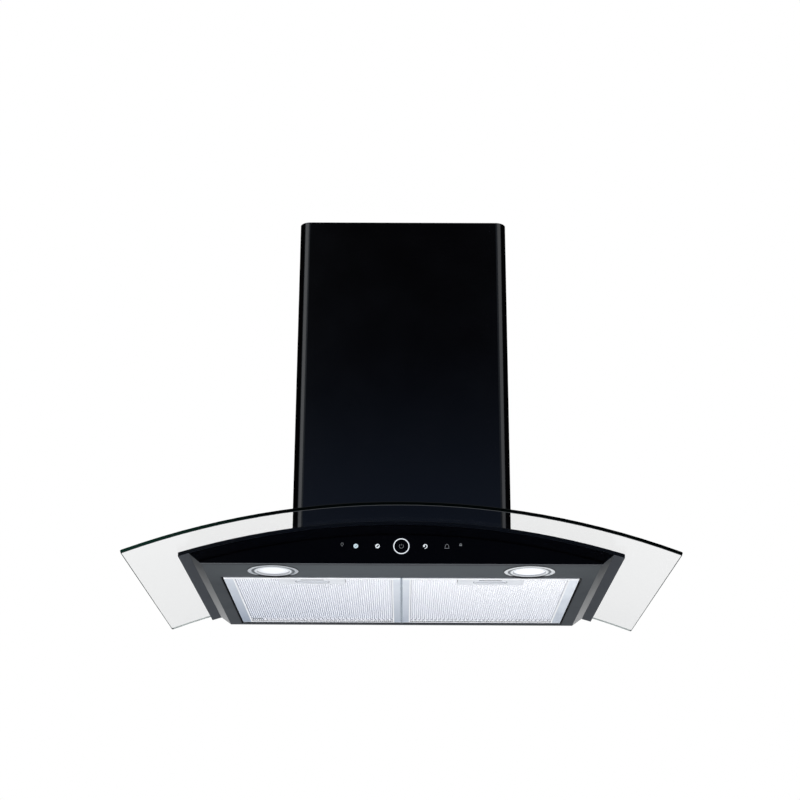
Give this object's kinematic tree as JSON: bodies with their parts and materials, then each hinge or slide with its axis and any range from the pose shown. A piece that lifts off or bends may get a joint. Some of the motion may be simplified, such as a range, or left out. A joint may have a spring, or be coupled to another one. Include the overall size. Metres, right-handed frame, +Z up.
{
  "type": "wall range hood",
  "caption": "Wall range hood with a bent glass canopy, touch control glass, lamps, hinged grease filters, a drum fan with outlet flaps, and a telescopic chimney.",
  "frame": {"origin": "centre of the four wall screw holes, on the wall plane", "axes": "+X to the right as seen from the room, +Y into the wall, +Z up"},
  "size_m": [0.7496, 0.5, 0.5982],
  "materials": {
    "canopy_glass": "clear, dark ground edge",
    "black_glass": "gloss black glass",
    "ring_light": "lit ring",
    "black_steel": "satin black powder coat",
    "black_rubber": "matte",
    "black_plastic": "matte",
    "circuit_board": "solder mask",
    "lamp_ring": "satin",
    "lamp_lens": "frosted, lit",
    "light_board": "white solder mask",
    "cast_aluminium": "as cast",
    "spring_steel": "bright",
    "zinc_steel": "galvanised",
    "screw_steel": "zinc plated",
    "black_screw": "black",
    "motor_paint": "dark grey paint",
    "fan_plastic": "matte",
    "flap_aluminium": "mill",
    "grey_plastic": "matte",
    "white_plastic": "matte",
    "filter_frame": "satin",
    "filter_mesh": "bright ridged mesh",
    "latch_metal": "satin"
  },
  "bodies": {
    "hood": {"glass_canopy": "canopy_glass", "glass_tape": "black_rubber", "inner_tape": "black_rubber", "top_plate": "black_steel", "hood_shell": "black_steel", "control_panel": "black_glass", "power_ring": "ring_light", "touch_carrier": "black_plastic", "touch_board": "circuit_board", "lamp_bezel_left": "lamp_ring", "lamp_bezel_right": "lamp_ring", "lamp_lens_left": "lamp_lens", "lamp_lens_right": "lamp_lens", "lamp_board_left": "light_board", "lamp_board_right": "light_board", "lamp_sink_left": "cast_aluminium", "lamp_sink_right": "cast_aluminium", "lamp_clips_left": "spring_steel", "lamp_clips_right": "spring_steel", "blower_box": "zinc_steel", "box_seal": "black_rubber", "clamp_screws": "screw_steel", "glass_bushes": "black_rubber", "clamp_nuts": "screw_steel", "fan_scroll": "zinc_steel", "inlet_rings": "zinc_steel", "fan_motor": "motor_paint", "motor_bracket": "screw_steel", "fan_screws": "screw_steel", "outlet_collar": "black_plastic", "flap_pins": "screw_steel", "supply_box": "grey_plastic", "supply_lid": "grey_plastic", "cable_gland": "black_plastic", "run_capacitor": "white_plastic", "terminal_block": "white_plastic", "lower_chimney": "black_steel", "cover_brackets": "zinc_steel", "cover_screws": "black_screw"},
    "fan_wheel": {"fan_wheel": "fan_plastic", "motor_shaft": "screw_steel", "hub_nut": "screw_steel"},
    "filter_left": {"filter_frame_left": "filter_frame", "filter_mesh_left": "filter_mesh", "latch_plate_left": "latch_metal", "latch_spring_left": "spring_steel"},
    "filter_right": {"filter_frame_right": "filter_frame", "filter_mesh_right": "filter_mesh", "latch_plate_right": "latch_metal", "latch_spring_right": "spring_steel"},
    "latch_left": {"filter_latch_left": "latch_metal"},
    "latch_right": {"filter_latch_right": "latch_metal"},
    "flap_front": {"damper_flap_front": "flap_aluminium"},
    "flap_rear": {"damper_flap_rear": "flap_aluminium"},
    "upper_chimney": {"upper_chimney": "black_steel", "top_bracket": "zinc_steel"}
  },
  "joints": [
    {"name": "fan_spin", "type": "hinge", "parent": "hood", "child": "fan_wheel", "pos_m": [0, -0.115, -0.0105], "axis": [1, 0, 0], "continuous": true},
    {"name": "flap_front_swing", "type": "hinge", "parent": "hood", "child": "flap_front", "pos_m": [0, -0.16874, 0.1119], "axis": [-1, 0, 0], "range_deg": [0, 75]},
    {"name": "flap_rear_swing", "type": "hinge", "parent": "hood", "child": "flap_rear", "pos_m": [0, -0.15874, 0.1119], "axis": [1, 0, 0], "range_deg": [0, 75]},
    {"name": "upper_chimney_slide", "type": "slide", "parent": "hood", "child": "upper_chimney", "axis": [0, 0, 1], "range_m": [0, 0.38]},
    {"name": "filter_left_swing", "type": "hinge", "parent": "hood", "child": "filter_left", "pos_m": [0, -0.0254, -0.194], "axis": [1, 0, 0], "range_deg": [0, 75]},
    {"name": "latch_left_slide", "type": "slide", "parent": "filter_left", "child": "latch_left", "axis": [0, 1, 0], "range_m": [0, 0.005], "stiffness_N_per_m": 900, "springref_m": -0.004, "deforming": ["latch_spring_left"]},
    {"name": "filter_right_swing", "type": "hinge", "parent": "hood", "child": "filter_right", "pos_m": [0, -0.0254, -0.194], "axis": [1, 0, 0], "range_deg": [0, 75]},
    {"name": "latch_right_slide", "type": "slide", "parent": "filter_right", "child": "latch_right", "axis": [0, 1, 0], "range_m": [0, 0.005], "stiffness_N_per_m": 900, "springref_m": -0.004, "deforming": ["latch_spring_right"]}
  ]
}
